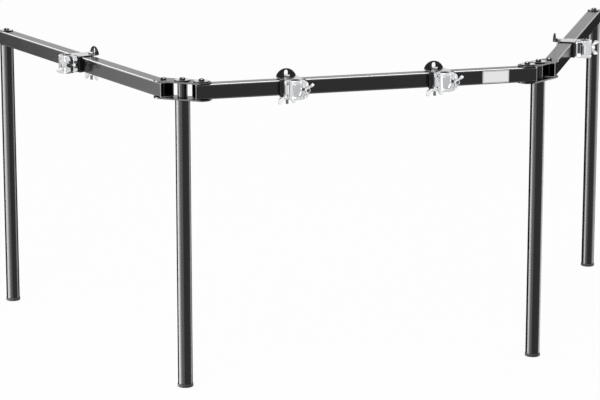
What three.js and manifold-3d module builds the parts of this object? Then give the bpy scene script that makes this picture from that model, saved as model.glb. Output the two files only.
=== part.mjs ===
// Three-sided rack frame for drum stands: square rails on round legs, with four tube clamps.
import * as THREE from 'three';
import { mergeVertices } from 'three/addons/utils/BufferGeometryUtils.js';
import Module from 'manifold-3d';

const wasm = await Module();
wasm.setup();

// Driving dimensions, millimetres and degrees. X runs along the front rail, Y goes back, Z is up.
const seatGap = 0.3;
const railSize = 38.1;
const railWall = 2;
const railCorner = 3;
const frontRailLength = 914.4;
const sideRailLength = 1016;
const railTopHeight = 791;
const legDiameter = 38.1;
const legWall = 2;
const plateThickness = 4;
const plateWidth = 50;
const pivotReach = 52;
const railTail = 20;
const legFromRailEnd = 23;
const leftPlateTurn = -38;
const leftRailTurn = -76.7;
const rightPlateTurn = 34;
const rightRailTurn = 59.2;
const boltDiameter = 8;
const closingBoltDiameter = 8;
const boreDiameter = 24;
const barrelHeight = 48;
const frontClampPlaces = [-207, 191];
const leftClampPlace = 18;
const rightClampPlace = -132;

// Sizes that follow from the driving dimensions.
const railHalf = railSize / 2;
const railZ = railTopHeight - railHalf;
const legRadius = legDiameter / 2;
const boltRadius = boltDiameter / 2;
const boltHole = boltRadius + seatGap;
const plateTop = railHalf + seatGap + plateThickness;
const frontPivot = frontRailLength / 2 - railTail;
const sidePivot = sideRailLength / 2 - railTail;
const farLegPlace = sideRailLength / 2 - legFromRailEnd;
const collarInside = railHalf + seatGap;

// Steps round a turned piece: legs and washers, bolts, and six-sided heads.
const roundSteps = 20;
const washerSteps = 16;
const boltSteps = 10;
const holeSteps = 10;
const hexSteps = 6;

// Materials, with colours and gloss as the photograph shows them.
const finish = (color, roughness, metalness) => ({ color, roughness, metalness });
const blackPaint = finish(0x1c1c1e, 0.32, 0.0);
const collarBlack = finish(0x0e0e10, 0.4, 0.0);
const chrome = finish(0xd6d7da, 0.12, 1.0);
const blackRubber = finish(0x121212, 0.8, 0.0);
const boltBlack = finish(0x18181a, 0.3, 0.6);
const blackPlastic = finish(0x101011, 0.5, 0.0);

const rack = new THREE.Group();
rack.name = 'rack_frame';

// Turns a closed surface into a solid for cutting and joining.
function solid(geometry) {
  const bare = new THREE.BufferGeometry();
  bare.setAttribute('position', geometry.getAttribute('position').clone());
  if (geometry.index) {
    bare.setIndex(geometry.index.clone());
  }
  const merged = mergeVertices(bare, 1e-4);
  const corners = merged.index.array;
  const kept = [];
  for (let i = 0; i < corners.length; i += 3) {
    const [a, b, c] = [corners[i], corners[i + 1], corners[i + 2]];
    if (a !== b && b !== c && c !== a) {
      kept.push(a, b, c);
    }
  }
  const vertProperties = new Float32Array(merged.getAttribute('position').array);
  const triVerts = new Uint32Array(kept);
  return new wasm.Manifold(new wasm.Mesh({ numProp: 3, vertProperties, triVerts }));
}

// Turns a cut solid back into a surface.
function surface(body) {
  const mesh = body.asOriginal().simplify(0.002).getMesh();
  const geometry = new THREE.BufferGeometry();
  geometry.setAttribute('position', new THREE.BufferAttribute(new Float32Array(mesh.vertProperties), 3));
  geometry.setIndex(new THREE.BufferAttribute(new Uint32Array(mesh.triVerts), 1));
  const flat = geometry.toNonIndexed();
  flat.computeVertexNormals();
  return flat;
}

const union = (...bodies) => bodies.reduce((sum, body) => sum.add(body));
const cut = (body, ...tools) => tools.reduce((left, tool) => left.subtract(tool), body);

// Extrusions start at the named axis and run between two values on it.
const shapeXY = (shape, low, high, curveSegments = 6) => {
  const geometry = new THREE.ExtrudeGeometry(shape, { depth: high - low, bevelEnabled: false, curveSegments });
  return solid(geometry.translate(0, 0, low));
};
const shapeXZ = (shape, low, high, curveSegments = 6) => {
  const geometry = new THREE.ExtrudeGeometry(shape, { depth: high - low, bevelEnabled: false, curveSegments });
  geometry.translate(0, 0, -high);
  return solid(geometry.rotateX(Math.PI / 2));
};
const shapeYZ = (shape, low, high, curveSegments = 6) => {
  const geometry = new THREE.ExtrudeGeometry(shape, { depth: high - low, bevelEnabled: false, curveSegments });
  geometry.translate(0, 0, low);
  const turn = new THREE.Matrix4().makeBasis(
    new THREE.Vector3(0, 1, 0),
    new THREE.Vector3(0, 0, 1),
    new THREE.Vector3(1, 0, 0),
  );
  return solid(geometry.applyMatrix4(turn));
};

// A turned piece about the Z axis, from [radius, height] points in either direction.
function turned(points, segments = roundSteps) {
  const outline = points.map(([radius, height]) => new THREE.Vector2(radius, height));
  const profile = THREE.ShapeUtils.isClockWise(outline) ? outline.reverse() : outline;
  return solid(new THREE.LatheGeometry(profile, segments).rotateX(Math.PI / 2));
}

// A round bar between two heights, at a place in plan.
function roundBar(radius, low, high, x = 0, y = 0, segments = boltSteps) {
  const bar = new THREE.CylinderGeometry(radius, radius, high - low, segments);
  return solid(bar.rotateX(Math.PI / 2).translate(x, y, (low + high) / 2));
}

// A plain block between two opposite corners.
function block(low, high) {
  const size = high.map((value, i) => value - low[i]);
  const middle = high.map((value, i) => (value + low[i]) / 2);
  return solid(new THREE.BoxGeometry(...size).translate(...middle));
}

// A rectangle with round corners, centred on a point.
function roundedRectangle(width, height, radius, x = 0, y = 0) {
  const shape = new THREE.Shape();
  const [left, right, low, high] = [x - width / 2, x + width / 2, y - height / 2, y + height / 2];
  shape.moveTo(left + radius, low);
  shape.lineTo(right - radius, low);
  shape.absarc(right - radius, low + radius, radius, -Math.PI / 2, 0);
  shape.lineTo(right, high - radius);
  shape.absarc(right - radius, high - radius, radius, 0, Math.PI / 2);
  shape.lineTo(left + radius, high);
  shape.absarc(left + radius, high - radius, radius, Math.PI / 2, Math.PI);
  shape.lineTo(left, low + radius);
  shape.absarc(left + radius, low + radius, radius, Math.PI, 1.5 * Math.PI);
  return shape;
}

// Puts a finished piece into the rack under its own name.
function place(name, body, look, matrix) {
  const geometry = surface(body).applyMatrix4(matrix);
  const mesh = new THREE.Mesh(geometry, new THREE.MeshStandardMaterial(look));
  mesh.name = name;
  rack.add(mesh);
}

// A level frame of reference turned about Z.
function frameAt(x, y, z, degrees) {
  const turn = new THREE.Matrix4().makeRotationZ(THREE.MathUtils.degToRad(degrees));
  return turn.setPosition(x, y, z);
}

// Steps along a direction in plan.
function step(from, degrees, distance) {
  const angle = THREE.MathUtils.degToRad(degrees);
  return [from[0] + Math.cos(angle) * distance, from[1] + Math.sin(angle) * distance];
}

// Square rail with bolt holes through its top and bottom walls.
function rail(length, boltPlaces) {
  const section = roundedRectangle(railSize, railSize, railCorner);
  section.holes.push(roundedRectangle(railSize - 2 * railWall, railSize - 2 * railWall, railCorner - 1.5));
  const tube = shapeYZ(section, -length / 2, length / 2, 2);
  const holes = boltPlaces.map((x) => roundBar(boltHole, -railSize, railSize, x, 0, holeSteps));
  return cut(tube, ...holes);
}

// Plastic cap on a rail's open end: a flange with a plug inside the tube. It points along +X.
function endCap() {
  const flangeThickness = 4;
  const flangeProud = 1.2;
  const plugDepth = 9;
  const flangeSize = railSize + 2 * flangeProud;
  const plugSize = railSize - 2 * railWall - 2 * seatGap;
  const flange = shapeYZ(roundedRectangle(flangeSize, flangeSize, 4), seatGap, flangeThickness, 2);
  const plug = shapeYZ(roundedRectangle(plugSize, plugSize, 1.5), -plugDepth, seatGap + 0.5, 2);
  return union(flange, plug);
}

// Leg: a round tube closed at its top by a plug that takes the bolt from above.
function leg(length) {
  const inner = legRadius - legWall;
  const plugDepth = 14;
  return turned([
    [boltHole, 0],
    [legRadius - 1, 0],
    [legRadius, -1],
    [legRadius, -length],
    [inner, -length],
    [inner, -plugDepth],
    [boltHole, -plugDepth],
    [boltHole, 0],
  ]);
}

// Rubber foot: a flange with a rounded lower rim and a plug pushed up into the leg.
const footFlange = 8.4;
function foot() {
  const flangeRadius = legRadius + 1.3;
  const plugRadius = legRadius - legWall - seatGap;
  const plugTop = footFlange + 22;
  const rim = 3;
  const rimSteps = 2;
  const points = [[0, 0], [flangeRadius - rim, 0]];
  for (let i = 1; i <= rimSteps; i += 1) {
    const angle = (i / rimSteps) * (Math.PI / 2);
    points.push([flangeRadius - rim + Math.sin(angle) * rim, rim - Math.cos(angle) * rim]);
  }
  points.push([flangeRadius, footFlange - 0.8]);
  points.push([flangeRadius - 0.8, footFlange]);
  points.push([plugRadius, footFlange]);
  points.push([plugRadius, plugTop]);
  points.push([0, plugTop]);
  return turned(points);
}

// Corner plate: straight sides, round ends on the two pivots, and a middle hole over the leg.
function cornerPlate() {
  const shape = new THREE.Shape();
  const half = plateWidth / 2;
  shape.moveTo(-pivotReach, -half);
  shape.lineTo(pivotReach, -half);
  shape.absarc(pivotReach, 0, half, -Math.PI / 2, Math.PI / 2);
  shape.lineTo(-pivotReach, half);
  shape.absarc(-pivotReach, 0, half, Math.PI / 2, 1.5 * Math.PI);
  for (const x of [-pivotReach, 0, pivotReach]) {
    const hole = new THREE.Path();
    hole.absarc(x, 0, boltHole, 0, 2 * Math.PI, true);
    shape.holes.push(hole);
  }
  return shapeXY(shape, 0, plateThickness, 5);
}

// Spacer sleeve round the middle bolt, between the two plates.
function spacer() {
  const outer = 12.7;
  const half = railHalf;
  return turned([[boltHole, -half], [outer, -half], [outer, half], [boltHole, half], [boltHole, -half]], washerSteps);
}

// Wide washer.
const washerRadius = 20.3;
const washerThickness = 2.8;
function washer() {
  return turned([
    [boltHole, 0],
    [washerRadius, 0],
    [washerRadius, washerThickness - 0.8],
    [washerRadius - 0.8, washerThickness],
    [boltHole, washerThickness],
    [boltHole, 0],
  ], washerSteps);
}

// Button-head bolt with a hexagonal recess. Its head rests at height zero, on a fixed disc where one is wanted.
const headHeight = 4.9;
function buttonBolt(shankLength, discRadius = 0) {
  const headRadius = 7.8;
  const recessRadius = 2.9;
  const recessDepth = 2.6;
  const tip = 0.8;
  const disc = [
    [boltRadius, -washerThickness],
    [discRadius, -washerThickness],
    [discRadius, -tip],
    [discRadius - tip, 0],
  ];
  const bolt = turned([
    [0, -shankLength],
    [boltRadius - tip, -shankLength],
    [boltRadius, tip - shankLength],
    ...(discRadius > 0 ? disc : [[boltRadius, 0]]),
    [headRadius, 0],
    [headRadius, 1.1],
    [headRadius - 1.4, 3.1],
    [headRadius - 3.6, headHeight],
    [0, headHeight],
  ], boltSteps);
  return cut(bolt, roundBar(recessRadius, headHeight - recessDepth, headHeight + 1, 0, 0, hexSteps));
}

// Hexagon-head bolt that closes a collar behind the rail. Its head rests at height zero.
function closingBolt(shankLength) {
  const radius = closingBoltDiameter / 2;
  const headRadius = 8.3;
  const headThickness = 4.4;
  const head = turned([
    [0, 0],
    [headRadius, 0],
    [headRadius, headThickness - 1],
    [headRadius - 1.4, headThickness],
    [0, headThickness],
  ], hexSteps);
  const shank = turned([
    [0, -shankLength],
    [radius - 1, -shankLength],
    [radius, 1 - shankLength],
    [radius, 1],
    [0, 1],
  ], boltSteps);
  return union(head, shank);
}

// Wing nut: a turned hub with two upswept wings. The hub's base is at height zero.
const wingSpan = 43;
function wingNut(threadRadius, size = 1) {
  const hubRadius = 7;
  const hubHeight = 13;
  const hub = turned([
    [0, 0],
    [hubRadius, 0],
    [hubRadius, 2],
    [hubRadius - 1.2, hubHeight - 1],
    [hubRadius - 2, hubHeight],
    [0, hubHeight],
  ], boltSteps);
  const outline = new THREE.Shape();
  const tip = wingSpan / 2;
  outline.moveTo(3.5, 3);
  outline.quadraticCurveTo(9, 4.5, tip - 7, 8);
  outline.quadraticCurveTo(tip, 10, tip, 16);
  outline.quadraticCurveTo(tip - 0.5, 23, tip - 6, 23);
  outline.quadraticCurveTo(tip - 9, 23, 9.5, 14);
  outline.quadraticCurveTo(7, 10.5, 3.5, 10.5);
  const halfWing = 2.1;
  const wing = shapeXZ(outline, -halfWing, halfWing, 3);
  const bore = roundBar(threadRadius + seatGap, -1, 20, 0, 0, holeSteps);
  return cut(union(hub, wing, wing.rotate([0, 0, 180])).scale([size, size, size]), bore);
}

// Sizes shared by the pieces of a tube clamp. Its own X runs along the rail and -Y points outward.
const wallThickness = 7.5;
const wallWidth = 68;
const strapThickness = 2.4;
const strapTop = collarInside + strapThickness;
const lipInside = 34;
const lipOutside = lipInside + strapThickness;
const lipHeight = 19;
const lipRadius = 27.4;
const closingBoltY = 25.2;
const padBack = -(collarInside + wallThickness + seatGap);
const barrelRadius = 20.2;
const boreY = padBack - barrelRadius;
const boreRadius = boreDiameter / 2;
const splitHalf = 0.8;
const barrelSteps = 7;
const hingeX = -25.2;
const knuckleRadius = 4.3;
const jawKnuckleHalf = 12;
const pinRadius = 2;
const swingX = 25.5;
const swingY = -36;
const eyeRadius = 7;
const eyeHalf = 4;
const forkPinRadius = 3;
const lugFront = boreY - 11;
const nutPlay = 3.4;
const nutBase = lugFront - nutPlay;
const nutTurn = 55;
const closingNutTurn = -15;
const closingNutSize = 1.18;

// Black collar: a front wall, a strap over and under the rail, and a round lip turned up behind.
function collar() {
  const wallMiddleY = -(collarInside + wallThickness / 2);
  const wall = shapeYZ(
    roundedRectangle(wallThickness, 2 * strapTop, 3, wallMiddleY, 0),
    -wallWidth / 2,
    wallWidth / 2,
    2,
  );
  const bend = 1.5;
  const bendY = lipInside - bend;
  const bendZ = strapTop + bend;
  const profile = new THREE.Shape();
  profile.moveTo(-collarInside - 2, collarInside);
  profile.lineTo(bendY, collarInside);
  profile.absarc(bendY, bendZ, bend + strapThickness, -Math.PI / 2, 0, false);
  profile.lineTo(lipOutside, strapTop + lipHeight + 2);
  profile.lineTo(lipInside, strapTop + lipHeight + 2);
  profile.lineTo(lipInside, bendZ);
  profile.absarc(bendY, bendZ, bend, 0, -Math.PI / 2, true);
  profile.lineTo(-collarInside - 2, strapTop);
  const topStrap = shapeYZ(profile, -wallWidth / 2, wallWidth / 2, 2);
  const bottomStrap = block([-wallWidth / 2, -collarInside - 2, -strapTop], [wallWidth / 2, lipInside, -collarInside]);

  const taper = new THREE.Shape();
  taper.moveTo(-31, -collarInside - wallThickness);
  taper.lineTo(31, -collarInside - wallThickness);
  taper.lineTo(26.7, lipOutside + 1);
  taper.lineTo(-26.7, lipOutside + 1);
  const plan = shapeXY(taper, -strapTop - 1, strapTop + lipHeight + 3);

  const outline = new THREE.Shape();
  const discZ = strapTop + lipHeight - lipRadius;
  const shoulder = Math.asin((strapTop - discZ) / lipRadius);
  outline.moveTo(-wallWidth, -strapTop - 1);
  outline.lineTo(wallWidth, -strapTop - 1);
  outline.lineTo(wallWidth, strapTop);
  outline.lineTo(lipRadius * Math.cos(shoulder), strapTop);
  outline.absarc(0, discZ, lipRadius, shoulder, Math.PI - shoulder, false);
  outline.lineTo(-wallWidth, strapTop);
  const lipMask = shapeXZ(outline, -wallWidth, wallWidth, 9);
  const strap = union(topStrap, bottomStrap).intersect(plan).intersect(lipMask);

  const slotHalf = 4.8;
  const slotTop = strapTop + 15;
  const slot = new THREE.Shape();
  slot.moveTo(-slotHalf, bendZ);
  slot.lineTo(slotHalf, bendZ);
  slot.lineTo(slotHalf, slotTop - slotHalf);
  slot.absarc(0, slotTop - slotHalf, slotHalf, 0, Math.PI, false);
  const lipSlot = shapeXZ(slot, lipInside - 1, lipOutside + 1, 3);
  const holeRadius = closingBoltDiameter / 2 + seatGap;
  const boltWay = roundBar(holeRadius, -strapTop - 1, strapTop + 1, 0, closingBoltY, holeSteps);
  return cut(union(wall, strap), lipSlot, boltWay);
}

// Half of the socket's outside in plan. Side is 1 for the half next to the rail, -1 for the jaw.
function halfDisc(radius, side) {
  const shape = new THREE.Shape();
  const start = Math.asin(splitHalf / radius);
  const low = side > 0 ? start : Math.PI + start;
  const high = side > 0 ? Math.PI - start : 2 * Math.PI - start;
  shape.absarc(0, boreY, radius, low, high, false);
  return shape;
}

// Socket base: a pad on the collar, half of the barrel, two hinge knuckles and a fork.
function socketBase() {
  const padWidth = 52;
  const padHeight = 43;
  const knuckleTop = 21;
  const pad = shapeXZ(roundedRectangle(padWidth, padHeight, 6), padBack - 5, padBack, 2);
  const backHalf = 17;
  const flankX = barrelRadius - 0.5;
  const flankDepth = 6;
  const endInset = 4;
  const flank = new THREE.Shape();
  flank.moveTo(-backHalf, padBack);
  flank.lineTo(backHalf, padBack);
  flank.lineTo(flankX, boreY + flankDepth);
  flank.lineTo(flankX, boreY + splitHalf);
  flank.lineTo(-flankX, boreY + splitHalf);
  flank.lineTo(-flankX, boreY + flankDepth);
  const bodyHalf = barrelHeight / 2 - endInset;
  const body = shapeXY(flank, -bodyHalf, bodyHalf);

  const web = new THREE.Shape();
  web.moveTo(hingeX - knuckleRadius + 0.6, boreY + splitHalf);
  web.lineTo(-16, boreY + splitHalf);
  web.lineTo(-16, padBack - 4);
  web.lineTo(-25, padBack - 4);
  const arm = shapeXY(web, -knuckleTop, knuckleTop);
  const knuckle = roundBar(knuckleRadius, -knuckleTop, knuckleTop, hingeX, boreY);
  const jawRoom = block(
    [hingeX - 9, boreY - 9, -jawKnuckleHalf - seatGap],
    [-barrelRadius - 0.6, boreY + 6.3, jawKnuckleHalf + seatGap],
  );
  const ears = cut(union(arm, knuckle), jawRoom);
  const pin = roundBar(pinRadius, -knuckleTop, knuckleTop, hingeX, boreY, holeSteps);

  const forkShape = new THREE.Shape();
  forkShape.moveTo(15, padBack - 2);
  forkShape.lineTo(29, padBack - 2);
  forkShape.lineTo(swingX + eyeRadius, swingY);
  forkShape.absarc(swingX, swingY, eyeRadius, 0, -Math.PI / 2, true);
  forkShape.lineTo(15, swingY - eyeRadius);
  const forkHalf = 22;
  const forkCorner = 13;
  const forkPinInset = 8;
  const eyeRoomHalf = eyeHalf + 0.4;
  const forkFace = roundedRectangle(60, 2 * forkHalf, forkCorner, swingX + eyeRadius - 30, 0);
  const fork = shapeXY(forkShape, -forkHalf, forkHalf, 4).intersect(shapeXZ(forkFace, -80, 0, 3));
  const eyeRoom = block([swingX - eyeRadius - 0.6, -80, -eyeRoomHalf], [60, swingY + eyeRadius + 0.6, eyeRoomHalf]);
  const pinHalf = forkHalf - forkPinInset;
  const forkPin = roundBar(forkPinRadius, -pinHalf, pinHalf, swingX, swingY, holeSteps);

  const barrel = shapeXY(halfDisc(barrelRadius, 1), -barrelHeight / 2, barrelHeight / 2, barrelSteps);
  const bore = roundBar(boreRadius, -40, 40, 0, boreY, roundSteps);
  const solidBody = cut(union(pad, body, barrel, fork), eyeRoom, bore);
  return union(solidBody, ears, pin, forkPin);
}

// Jaw: the outer half of the barrel, a middle knuckle, and a lug with an open slot for the swing bolt.
function socketJaw() {
  const lugHalf = 23;
  const lugRight = 32;
  const corner = 13;
  const lugBack = boreY - 3;
  const outline = new THREE.Shape();
  outline.moveTo(14, -lugHalf);
  outline.lineTo(lugRight - corner, -lugHalf);
  outline.absarc(lugRight - corner, -lugHalf + corner, corner, -Math.PI / 2, 0, false);
  outline.lineTo(lugRight, lugHalf - corner);
  outline.absarc(lugRight - corner, lugHalf - corner, corner, 0, Math.PI / 2, false);
  outline.lineTo(14, lugHalf);
  const lug = shapeXZ(outline, lugFront, lugBack, 3);
  const slotHalf = boltRadius + 0.7;
  const slot = block([swingX - slotHalf, -90, -slotHalf], [60, 0, slotHalf]);

  const web = new THREE.Shape();
  web.moveTo(hingeX, boreY - knuckleRadius);
  web.lineTo(hingeX, boreY - splitHalf);
  web.lineTo(-16, boreY - splitHalf);
  web.lineTo(-15, boreY - 12);
  const arm = shapeXY(web, -jawKnuckleHalf, jawKnuckleHalf);
  const knuckle = roundBar(knuckleRadius, -jawKnuckleHalf, jawKnuckleHalf, hingeX, boreY);
  const pinWay = roundBar(pinRadius + seatGap, -40, 40, hingeX, boreY, holeSteps);
  const baseEars = [
    block([hingeX - 9, boreY - 9, jawKnuckleHalf + seatGap], [hingeX + knuckleRadius + seatGap, boreY + 9, 40]),
    block([hingeX - 9, boreY - 9, -40], [hingeX + knuckleRadius + seatGap, boreY + 9, -jawKnuckleHalf - seatGap]),
  ];
  const half = barrelHeight / 2;
  const rimHeight = 6;
  const rim = halfDisc(barrelRadius + 1.3, -1);
  const barrel = union(
    shapeXY(halfDisc(barrelRadius, -1), -half, half, barrelSteps),
    shapeXY(rim, half - rimHeight, half, barrelSteps),
    shapeXY(rim, -half, rimHeight - half, barrelSteps),
  );
  const bore = roundBar(boreRadius, -40, 40, 0, boreY, roundSteps);
  const whole = union(barrel, cut(lug, slot), arm, knuckle);
  return cut(whole, pinWay, bore, ...baseEars);
}

// Swing bolt: a flat eye on the fork's pin and a threaded rod that points outward.
function swingBolt() {
  const rodBeyondNut = 12;
  const rodEnd = nutBase - rodBeyondNut;
  const eye = roundBar(eyeRadius, -eyeHalf, eyeHalf, swingX, swingY, washerSteps);
  const rod = shapeXZ(new THREE.Shape().absarc(swingX, 0, boltRadius, 0, 2 * Math.PI), rodEnd, swingY, 5);
  return cut(union(eye, rod), roundBar(forkPinRadius + seatGap, -10, 10, swingX, swingY, holeSteps));
}

// One clamp, placed by the frame of its spot on a rail.
function clamp(number, spot) {
  const name = `clamp_${number}`;
  const outward = new THREE.Matrix4().makeBasis(
    new THREE.Vector3(1, 0, 0),
    new THREE.Vector3(0, 0, 1),
    new THREE.Vector3(0, -1, 0),
  );
  const nutSeat = outward.clone().setPosition(swingX, nutBase, 0);
  nutSeat.multiply(new THREE.Matrix4().makeRotationZ(THREE.MathUtils.degToRad(nutTurn)));
  const downward = new THREE.Matrix4().makeRotationX(Math.PI);
  const lowerSeat = downward.clone().setPosition(0, closingBoltY, -strapTop - seatGap);
  lowerSeat.multiply(new THREE.Matrix4().makeRotationZ(THREE.MathUtils.degToRad(closingNutTurn)));
  const headSeat = new THREE.Matrix4().makeTranslation(0, closingBoltY, strapTop + seatGap);
  const shankBelowStrap = 28;
  const shankLength = 2 * strapTop + shankBelowStrap;
  place(`${name}_collar`, collar(), collarBlack, spot);
  place(`${name}_base`, socketBase(), chrome, spot);
  place(`${name}_jaw`, socketJaw(), chrome, spot);
  place(`${name}_swing_bolt`, swingBolt(), chrome, spot);
  place(`${name}_wing_nut`, wingNut(boltRadius), chrome, spot.clone().multiply(nutSeat));
  place(`${name}_closing_bolt`, closingBolt(shankLength), chrome, spot.clone().multiply(headSeat));
  const closingNut = wingNut(closingBoltDiameter / 2, closingNutSize);
  place(`${name}_closing_nut`, closingNut, chrome, spot.clone().multiply(lowerSeat));
}

// Leg with its foot, hung below a given height.
function legAndFoot(side, spot, top) {
  const length = top - footFlange - seatGap;
  place(`leg_${side}`, leg(length), blackPaint, frameAt(spot[0], spot[1], top, 0));
  place(`foot_${side}`, foot(), blackRubber, frameAt(spot[0], spot[1], 0, 0));
}

// Corner: two plates on the leg's head, with a bolt through each rail and one into the leg.
function cornerUnit(side, spot, degrees, frontPivotX) {
  const at = (x, z) => frameAt(spot[0], spot[1], railZ + z, degrees).multiply(
    new THREE.Matrix4().makeTranslation(x, 0, 0),
  );
  const washerZ = plateTop + seatGap;
  const onWasher = washerZ + washerThickness + seatGap;
  const plateBottom = -plateTop;
  const shank = onWasher - plateBottom - 0.5;
  place(`corner_${side}_top_plate`, cornerPlate(), blackPaint, at(0, plateTop - plateThickness));
  place(`corner_${side}_bottom_plate`, cornerPlate(), blackPaint, at(0, plateBottom));
  place(`corner_${side}_spacer`, spacer(), blackPaint, at(0, 0));
  place(`corner_${side}_middle_washer`, washer(), blackPaint, at(0, washerZ));
  place(`corner_${side}_front_washer`, washer(), blackPaint, at(frontPivotX, washerZ));
  place(`corner_${side}_middle_bolt`, buttonBolt(shank + 12), boltBlack, at(0, onWasher));
  place(`corner_${side}_front_bolt`, buttonBolt(shank), boltBlack, at(frontPivotX, onWasher));
  const sideShank = plateTop + seatGap - plateBottom - 0.5;
  place(`corner_${side}_side_bolt`, buttonBolt(sideShank), boltBlack, at(-frontPivotX, washerZ));
  legAndFoot(side, spot, railZ + plateBottom - seatGap);
}

// Bolt and washer in one turned piece, over the leg at a rail's far end.
function endBolt() {
  const shank = 2 * railHalf + 2 * seatGap + 12;
  return buttonBolt(shank, washerRadius - 1.5);
}

// Plan of the rack: front rail first, then each corner's leg and side rail from their pivots.
const leftCorner = step([-frontPivot, 0], leftPlateTurn, -pivotReach);
const leftPivot = step(leftCorner, leftPlateTurn, -pivotReach);
const leftRailMiddle = step(leftPivot, leftRailTurn, -sidePivot);
const leftLegSpot = step(leftRailMiddle, leftRailTurn, -farLegPlace);
const rightCorner = step([frontPivot, 0], rightPlateTurn, pivotReach);
const rightPivot = step(rightCorner, rightPlateTurn, pivotReach);
const rightRailMiddle = step(rightPivot, rightRailTurn, sidePivot);
const rightLegSpot = step(rightRailMiddle, rightRailTurn, farLegPlace);

const leftRailFrame = frameAt(leftRailMiddle[0], leftRailMiddle[1], railZ, leftRailTurn);
const rightRailFrame = frameAt(rightRailMiddle[0], rightRailMiddle[1], railZ, rightRailTurn);
place('rail_front', rail(frontRailLength, [-frontPivot, frontPivot]), blackPaint, frameAt(0, 0, railZ, 0));
place('rail_left', rail(sideRailLength, [-farLegPlace, sidePivot]), blackPaint, leftRailFrame);
place('rail_right', rail(sideRailLength, [-sidePivot, farLegPlace]), blackPaint, rightRailFrame);

const alongRail = (x, z = 0) => new THREE.Matrix4().makeTranslation(x, 0, z);
const halfTurn = new THREE.Matrix4().makeRotationZ(Math.PI);
const sideEnd = sideRailLength / 2;
place('end_cap_left', endCap(), blackPlastic, leftRailFrame.clone().multiply(alongRail(-sideEnd)).multiply(halfTurn));
place('end_cap_right', endCap(), blackPlastic, rightRailFrame.clone().multiply(alongRail(sideEnd)));
const boltSeat = railHalf + seatGap + washerThickness;
place('end_bolt_left', endBolt(), boltBlack, leftRailFrame.clone().multiply(alongRail(-farLegPlace, boltSeat)));
place('end_bolt_right', endBolt(), boltBlack, rightRailFrame.clone().multiply(alongRail(farLegPlace, boltSeat)));
legAndFoot('far_left', leftLegSpot, railZ - railHalf - seatGap);
legAndFoot('far_right', rightLegSpot, railZ - railHalf - seatGap);

cornerUnit('left', leftCorner, leftPlateTurn, pivotReach);
cornerUnit('right', rightCorner, rightPlateTurn, -pivotReach);

clamp(1, leftRailFrame.clone().multiply(alongRail(leftClampPlace)));
clamp(2, frameAt(frontClampPlaces[0], 0, railZ, 0));
clamp(3, frameAt(frontClampPlaces[1], 0, railZ, 0));
clamp(4, rightRailFrame.clone().multiply(alongRail(rightClampPlace)));

// The origin goes to the middle of the footprint, on the floor.
const extent = new THREE.Box3().setFromObject(rack);
const middle = extent.getCenter(new THREE.Vector3());
for (const piece of rack.children) {
  piece.geometry.translate(-middle.x, -middle.y, -extent.min.z);
}

export default rack;
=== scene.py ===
"""Looks of a three-sided rack frame for drum stands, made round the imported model."""

import bpy
import numpy as np
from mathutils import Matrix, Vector
from mathutils.geometry import delaunay_2d_cdt

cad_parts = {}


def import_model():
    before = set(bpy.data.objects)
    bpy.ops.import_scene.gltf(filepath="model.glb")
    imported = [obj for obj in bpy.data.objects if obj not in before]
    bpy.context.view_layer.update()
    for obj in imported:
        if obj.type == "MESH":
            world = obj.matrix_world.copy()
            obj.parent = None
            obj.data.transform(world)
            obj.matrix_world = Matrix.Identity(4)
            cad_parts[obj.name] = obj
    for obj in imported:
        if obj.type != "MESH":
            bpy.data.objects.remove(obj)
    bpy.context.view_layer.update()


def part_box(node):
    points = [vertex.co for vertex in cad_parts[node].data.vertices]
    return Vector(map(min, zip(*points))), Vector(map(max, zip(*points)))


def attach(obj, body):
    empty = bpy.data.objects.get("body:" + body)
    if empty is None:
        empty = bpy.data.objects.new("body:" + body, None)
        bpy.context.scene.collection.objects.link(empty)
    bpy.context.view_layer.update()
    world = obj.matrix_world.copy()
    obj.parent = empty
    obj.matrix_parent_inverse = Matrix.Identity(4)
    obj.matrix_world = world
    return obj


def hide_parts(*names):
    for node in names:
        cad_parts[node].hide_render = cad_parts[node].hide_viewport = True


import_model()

# Sizes of the rack, in millimetres and degrees, as in the CAD.
MM = 0.001
GAP = 0.3
RAIL = 38.1
RAIL_HALF = RAIL / 2
RAIL_WALL = 2.0
FRONT_LENGTH = 914.4
SIDE_LENGTH = 1016.0
RAIL_TOP = 791.0
RAIL_Z = RAIL_TOP - RAIL_HALF
LEG_RADIUS = 19.05
LEG_WALL = 2.0
PLATE = 4.0
PLATE_HALF = 25.0
PIVOT_REACH = 52.0
RAIL_TAIL = 20.0
LEG_FROM_END = 23.0
LEFT_PLATE_TURN = -38.0
LEFT_RAIL_TURN = -76.7
RIGHT_PLATE_TURN = 34.0
RIGHT_RAIL_TURN = 59.2
BOLT = 4.0
HOLE = BOLT + GAP
FOOT_FLANGE = 8.4
SPACER_RADIUS = 12.7
WASHER_RADIUS = 20.3
WASHER = 2.8
PLATE_TOP = RAIL_HALF + GAP + PLATE
FRONT_PIVOT = FRONT_LENGTH / 2 - RAIL_TAIL
SIDE_PIVOT = SIDE_LENGTH / 2 - RAIL_TAIL
FAR_LEG = SIDE_LENGTH / 2 - LEG_FROM_END

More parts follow.
